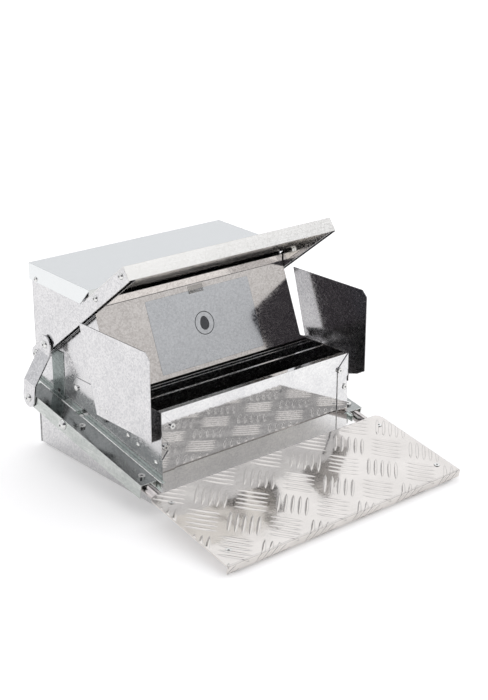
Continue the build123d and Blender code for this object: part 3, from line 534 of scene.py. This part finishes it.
def addLabel():
    # bare label and tag films on the slanted front, a ring round an egg on the label, and a dark strip of
    # painted shade along the fold's seam
    v = labelValues
    film, inked, middle = v["film"], v["film"] + v["ink"], v["middle"]
    ring, innerRing = (ovalOutline(middle, r, r) for r in (v["ring"], v["ring"] - v["ringWidth"]))
    low, high = v["seam"]
    half = v["seamHalf"]
    seam = np.array([(-half, low), (half, low), (half, high), (-half, high)])
    pieces = {
        "labelFilm": ("film", slab(roundedOutline(*v["outline"], v["corner"]), 0.0, film)),
        "tagFilm": ("tag", slab(roundedOutline(*v["tag"], v["tagCorner"]), 0.0, film)),
        "labelRing": ("print", ringSlab(ring, innerRing, film, inked)),
        "labelEgg": ("print", slab(ovalOutline(middle, *v["egg"], v["eggPoint"]), film, inked)),
        "foldSeam": ("crease", slab(seam, 0.0, v["seamLift"])),
    }
    for name, (material, (points, faces)) in pieces.items():
        meshPiece(name, onSlope(points), faces, material, "feeder_body", len(faces))
    print("label, tag and seam made")


addLabel()

hemValues = {"x": 0.17055, "top": 0.0083, "radius": 0.0009,
             "runs": ((-0.187, -0.0085), (0.0085, 0.042), (0.0725, 0.1125))}


def addHems():
    # hem along each ledge, almost white as a painted highlight: half circle swept along the slope, broken at
    # the pivot and at the stay
    v = hemValues
    x, z = arc((v["x"], v["top"]), v["radius"], 0, 180).T
    k = len(x)
    i = np.arange(k - 1)
    strip = np.column_stack([i, i + k, i + k + 1, i + 1])
    for side, word in ((-1, "Left"), (1, "Right")):
        points = np.vstack([np.column_stack([side * x, np.full(k, y), z]) for run in v["runs"] for y in run])
        turned = strip if side > 0 else strip[:, ::-1]
        faces = np.vstack([turned + 2 * k * run for run in range(len(v["runs"]))])
        meshPiece("ledgeHem" + word, onTreadle(points), faces, "bead", "feeder_body")
    print("ledge hems made")


addHems()

markValues = {
    "reach": 0.40, "width": 0.10,      # of the cross, as shares of the head's radius
    "armWay": (0.0, 0.6, 0.8), "lift": 0.00012,
    "apexBand": 0.00004, "headDepth": 0.003, "domeDepth": 0.004, "domeRing": (0.15, 0.9),
    "flat": 0.0014,                    # a wider top is a flat end, not a dome
    "leastRadius": 0.0015, "fewestPoints": 6,
}


def looseParts(obj):
    # vertices at one place are one point; points joined by edges take the lowest number among them, over and
    # over, until each loose part has one number of its own
    mesh = obj.data
    co = np.empty(len(mesh.vertices) * 3, np.float32)
    mesh.vertices.foreach_get("co", co)
    place = np.array(obj.matrix_world)
    co = co.reshape(-1, 3) @ place[:3, :3].T + place[:3, 3]
    merged, index = np.unique(np.round(co, 6), axis=0, return_inverse=True)
    ends = np.empty(len(mesh.edges) * 2, np.int32)
    mesh.edges.foreach_get("vertices", ends)
    a, b = index.ravel()[ends].reshape(-1, 2).T
    number, before = np.arange(len(merged)), None
    while before is None or (number != before).any():
        before = number.copy()
        lowest = np.minimum(number[a], number[b])
        np.minimum.at(number, a, lowest)
        np.minimum.at(number, b, lowest)
        number = number[number]
    return [merged[number == n] for n in np.unique(number)]


def driveMark(part, axis, flatHead):
    # dark cross of painted recess shade laid on a head: on a dome each corner drops with the square of its
    # distance from the middle
    v = markValues
    t = part @ axis
    apex = t.max()
    onTop = t > apex - v["apexBand"]
    middle = part[onTop].mean(axis=0)
    offset = part - middle
    r = np.linalg.norm(offset - np.outer(offset @ axis, axis), axis=1)
    domed = r[onTop].max() < v["flat"]
    radius = r[t > apex - v["headDepth"]].max()
    low, high = v["domeRing"]
    dome = (r > low * radius) & (r < high * radius) & (t > apex - v["domeDepth"])
    if radius < v["leastRadius"] or not (flatHead or (domed and dome.sum() >= v["fewestPoints"])):
        return None
    fall = float(np.median((apex - t[dome]) / r[dome] ** 2)) if dome.any() and domed else 0.0
    side = np.cross(axis, v["armWay"])
    side /= np.linalg.norm(side)
    other = np.cross(axis, side)
    w, g = v["width"] * radius, v["reach"] * radius
    flat = np.array([(w, w), (-w, w), (-w, -w), (w, -w), (w, g), (-w, g),
                     (-g, w), (-g, -w), (-w, -g), (w, -g), (g, -w), (g, w)])
    height = v["lift"] - fall * (flat ** 2).sum(axis=1)
    return middle + np.outer(height, axis) + np.outer(flat[:, 0], side) + np.outer(flat[:, 1], other)


def addDriveMarks():
    # side bolts point outward, plate and tube bolts up from the treadle, corner screws forward
    tilt = math.radians(treadleValues["tilt"])
    treadleUp = np.array([0.0, -math.sin(tilt), math.cos(tilt)])
    flatHeads = {"tube_bolts": treadleUp, "plate_screws": treadleUp,
                 "trough_corner_screws": np.array([0.0, -1.0, 0.0])}
    cross = np.array([(0, 1, 2, 3), (0, 4, 5, 1), (1, 6, 7, 2), (2, 8, 9, 3), (3, 10, 11, 0)])
    found = {}
    for name, obj in nodes.items():
        if not ("bolt" in name or "screw" in name):
            continue
        for part in looseParts(obj):
            outward = np.array([1.0 if part[:, 0].mean() > 0 else -1.0, 0.0, 0.0])
            mark = driveMark(part, flatHeads.get(name, outward), name in flatHeads)
            if mark is not None:
                found.setdefault(obj["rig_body"], []).append(mark)
    for body, marks in found.items():
        faces = np.vstack([cross + i * len(marks[0]) for i in range(len(marks))])
        # the crosses are dark films of painted shade, where the shaded drive recesses would be
        meshPiece("driveMarks_" + body, np.vstack(marks), faces, "recess", body, len(faces))
        print("drive marks", body, len(marks))


addDriveMarks()

cameraValues = {"place": (-1.1348, -1.4467, 0.8391), "azimuth": -40.4, "elevation": 20.7, "lens": 72.0,
                "farthest": 200.0}


def addCamera():
    # the photo's place and lens: turned by the azimuth from the front, down by the elevation, and held level
    v = cameraValues
    a, e = math.radians(v["azimuth"]), math.radians(v["elevation"])
    ahead = Vector((-math.sin(a) * math.cos(e), math.cos(a) * math.cos(e), -math.sin(e)))
    data = bpy.data.cameras.new("photoCamera")
    data.lens = v["lens"]
    data.clip_end = v["farthest"]
    camera = bpy.data.objects.new("photoCamera", data)
    bpy.context.scene.collection.objects.link(camera)
    camera.location = v["place"]
    camera.rotation_mode = "QUATERNION"
    camera.rotation_quaternion = ahead.to_track_quat("-Z", "Y")
    bpy.context.scene.camera = camera


lightValues = {
    "sky": 0.95, "skyTint": "f8f9fb",  # even studio light
    "darkWay": (-0.62, -0.75, 0.22),   # the unlit room behind the camera
    "darkInner": 0.93, "darkOuter": 0.72, "darkLevel": 0.11, "darkTint": "dcd6ea",
    "bandLevel": 0.3, "bandUp": (0.04, 0.3), "bandFront": (-0.6, -0.2),    # darker walls low in front
    "sun": 0.4, "sunFrom": (0.5, 0.25, 1.6), "sunWidth": 90.0,
}


def addWorld():
    # studio light, less in a soft lobe toward the dark room and in a low band in front; white to the camera
    v = lightValues
    world = bpy.data.worlds.new("studioWorld")
    bpy.context.scene.world = world
    world.use_nodes = True
    tree = world.node_tree
    tree.nodes.clear()
    way = addNode(tree, "TexCoord").outputs["Generated"]
    darkWay = Vector(v["darkWay"]).normalized()
    toward = addNode(tree, "VectorMath", {0: way}, {1: darkWay}, operation="DOT_PRODUCT")
    parts = addNode(tree, "SeparateXYZ", {"Vector": way})
    soft = []
    for value, sockets in (
            (toward.outputs["Value"], fromTo((v["darkOuter"], v["darkInner"]), v["sky"], v["darkLevel"])),
            (parts.outputs["Z"], fromTo(v["bandUp"], 1.0, 0.0)),
            (parts.outputs["Y"], fromTo(v["bandFront"], 1 - v["bandLevel"], 0.0))):
        soft.append(addNode(tree, "MapRange", {"Value": value}, sockets,
                            interpolation_type="SMOOTHSTEP").outputs["Result"])
    lobe, low, front = soft
    band = addNode(tree, "Math", {0: low, 1: front}, operation="MULTIPLY").outputs[0]
    rest = addNode(tree, "Math", {1: band}, {0: 1.0}, operation="SUBTRACT").outputs[0]
    level = addNode(tree, "Math", {0: lobe, 1: rest}, operation="MULTIPLY").outputs[0]
    tint = addNode(tree, "Mix", {"Factor": lobe}, {6: linear(v["darkTint"]), 7: linear(v["skyTint"])},
                   data_type="RGBA").outputs[2]
    studio = addNode(tree, "Background", {"Strength": level, "Color": tint}).outputs[0]
    white = addNode(tree, "Background", None, {"Color": (1, 1, 1, 1), "Strength": 1.0}).outputs[0]
    seen = addNode(tree, "LightPath").outputs["Is Camera Ray"]
    both = addNode(tree, "MixShader", {0: seen, 1: studio, 2: white}).outputs[0]
    addNode(tree, "OutputWorld", {"Surface": both})


def addSun():
    # one weak, very wide lamp from above and behind, for the soft shade under the object
    v = lightValues
    light = bpy.data.lights.new("wideSun", "SUN")
    light.energy = v["sun"]
    light.angle = math.radians(v["sunWidth"])
    lamp = bpy.data.objects.new("wideSun", light)
    bpy.context.scene.collection.objects.link(lamp)
    lamp.location = v["sunFrom"]
    lamp.rotation_mode = "QUATERNION"
    lamp.rotation_quaternion = (-Vector(v["sunFrom"])).to_track_quat("-Z", "Y")


floorValues = {"colour": "faf9f8", "glow": 0.27, "half": 60.0, "height": -0.0002}


def addFloor():
    # white table, which also glows as if lit from below
    v = floorValues
    material, tree = newMaterial("paleStudioFloor")
    shader = addNode(tree, "BsdfDiffuse", None, {"Color": linear(v["colour"])}).outputs[0]
    glow = addNode(tree, "Emission", None, {"Strength": v["glow"]}).outputs[0]
    both = addNode(tree, "AddShader", {0: shader, 1: glow}).outputs[0]
    addNode(tree, "OutputMaterial", {"Surface": both})
    s = v["half"]
    mesh = bpy.data.meshes.new("studioFloor")
    mesh.from_pydata([(-s, -s, 0), (s, -s, 0), (s, s, 0), (-s, s, 0)], [], [(0, 1, 2, 3)])
    floor = bpy.data.objects.new("studioFloor", mesh)
    bpy.context.scene.collection.objects.link(floor)
    floor.location = (0, 0, v["height"])
    floor.data.materials.append(material)


addCamera()
addWorld()
addSun()
addFloor()
bpy.context.scene.view_settings.view_transform = "Standard"
print("camera, light and floor set")

print("scene done")
